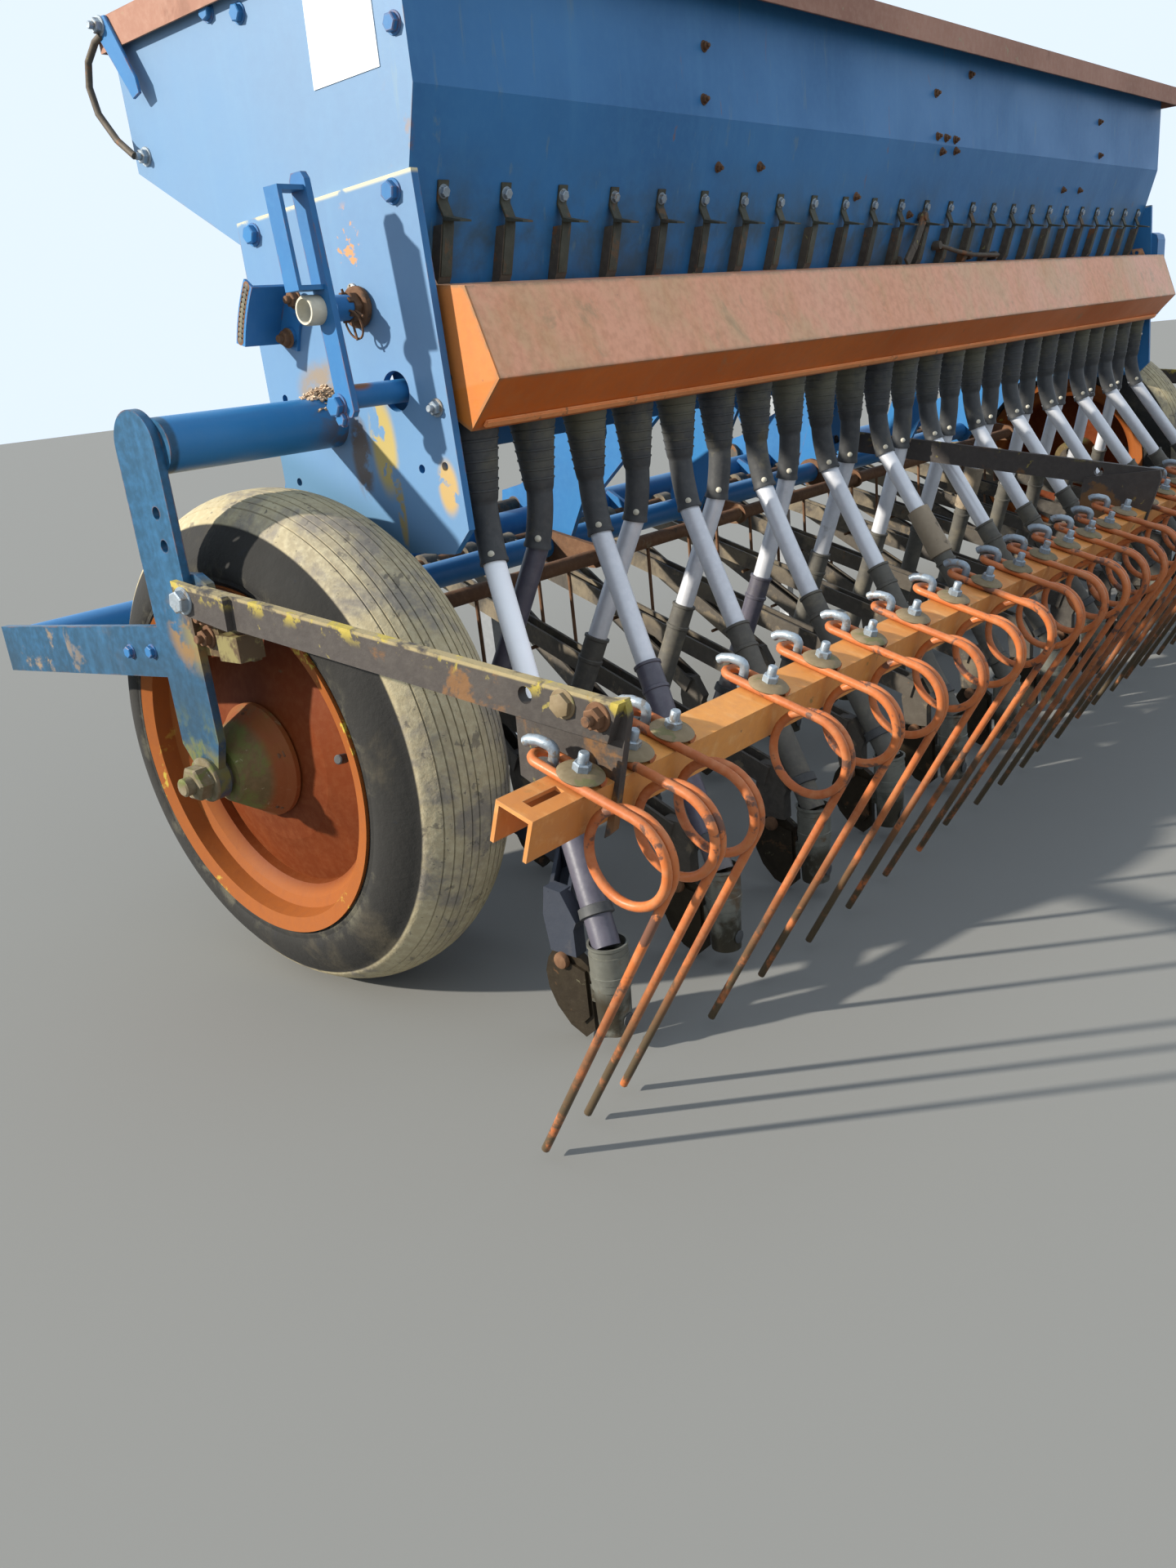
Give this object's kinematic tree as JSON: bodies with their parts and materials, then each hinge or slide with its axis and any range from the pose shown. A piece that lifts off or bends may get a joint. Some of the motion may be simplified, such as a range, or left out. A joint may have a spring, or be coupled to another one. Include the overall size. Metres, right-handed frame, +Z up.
{
  "type": "mounted seed drill",
  "caption": "Mounted seed drill with a long hopper, a row of outlets and tubes to trailed coulters, two carrying wheels and a rear tine harrow.",
  "frame": {"origin": "centre of the bounding box at ground level", "axes": "X across the machine (left is -X), +Y the direction of travel, Z up"},
  "size_m": [3.2206, 1.2534, 1.194],
  "materials": {
    "blue_paint": "weathered satin blue",
    "dark_blue_paint": "dark weathered paint",
    "orange_paint": "faded orange-red",
    "faded_paint": "chalky faded red",
    "spring_orange": "worn orange on spring wire",
    "dark_steel": "oxidised steel",
    "rusty_iron": "brown rust",
    "galvanised": "dull zinc",
    "black_rubber": "matt black",
    "grey_plastic": "matt grey",
    "tyre": "dried mud on rubber"
  },
  "bodies": {
    "frame": {"hopper": "blue_paint", "hopper_divider": "blue_paint", "agitator_shaft": "dark_steel", "side_plate_left": "blue_paint", "side_plate_right": "blue_paint", "main_beam": "blue_paint", "front_cross_tube": "blue_paint", "side_members": "blue_paint", "headstock": "blue_paint", "lower_link_pins": "dark_steel", "wheel_carrier_left": "blue_paint", "wheel_carrier_right": "blue_paint", "stub_axles": "dark_steel", "shutters": "dark_steel", "seed_housings": "blue_paint", "feed_shaft": "dark_steel", "seed_funnels": "black_rubber", "upper_seed_tubes": "grey_plastic", "lower_seed_tubes": "black_rubber", "coulter_hinge_bar": "rusty_iron", "lift_tube": "blue_paint", "bar_hangers": "blue_paint", "drawbars": "dark_blue_paint", "coulter_shares": "rusty_iron", "coulter_boots": "galvanised", "lift_gear": "rusty_iron", "harrow_hanger": "blue_paint", "quadrant_plate": "blue_paint", "control_lever": "blue_paint", "drive_case": "blue_paint", "stand_sleeves": "blue_paint"},
    "wheel_left": {"tyre_left": "tyre", "rim_left": "orange_paint", "hub_left": "orange_paint"},
    "wheel_right": {"tyre_right": "tyre", "rim_right": "orange_paint", "hub_right": "orange_paint"},
    "lid": {"lid": "faded_paint"},
    "rear_cover": {"rear_cover": "orange_paint"},
    "harrow": {"harrow_arms": "dark_steel", "harrow_brackets": "dark_steel", "tine_bar": "orange_paint", "harrow_tines": "spring_orange"},
    "parking_leg_left": {"parking_leg_left": "galvanised"},
    "parking_leg_right": {"parking_leg_right": "galvanised"}
  },
  "joints": [
    {"name": "wheel_left_spin", "type": "hinge", "parent": "frame", "child": "wheel_left", "pos_m": [-1.37, 0.07975, 0.317], "axis": [1, 0, 0], "continuous": true},
    {"name": "wheel_right_spin", "type": "hinge", "parent": "frame", "child": "wheel_right", "pos_m": [1.37, 0.07975, 0.317], "axis": [1, 0, 0], "continuous": true},
    {"name": "lid_hinge", "type": "hinge", "parent": "frame", "child": "lid", "pos_m": [0, 0.40975, 1.154], "axis": [-1, 0, 0], "range_deg": [0, 95]},
    {"name": "rear_cover_hinge", "type": "hinge", "parent": "frame", "child": "rear_cover", "pos_m": [0, -0.11125, 0.836], "axis": [-1, 0, 0], "range_deg": [0, 60]},
    {"name": "harrow_hinge", "type": "hinge", "parent": "frame", "child": "harrow", "pos_m": [0, 0.02975, 0.536], "axis": [-1, 0, 0], "range_deg": [0, 35]},
    {"name": "parking_leg_left_slide", "type": "slide", "parent": "frame", "child": "parking_leg_left", "axis": [0, 0, 1], "range_m": [0, 0.3]},
    {"name": "parking_leg_right_slide", "type": "slide", "parent": "frame", "child": "parking_leg_right", "axis": [0, 0, 1], "range_m": [0, 0.3]}
  ]
}
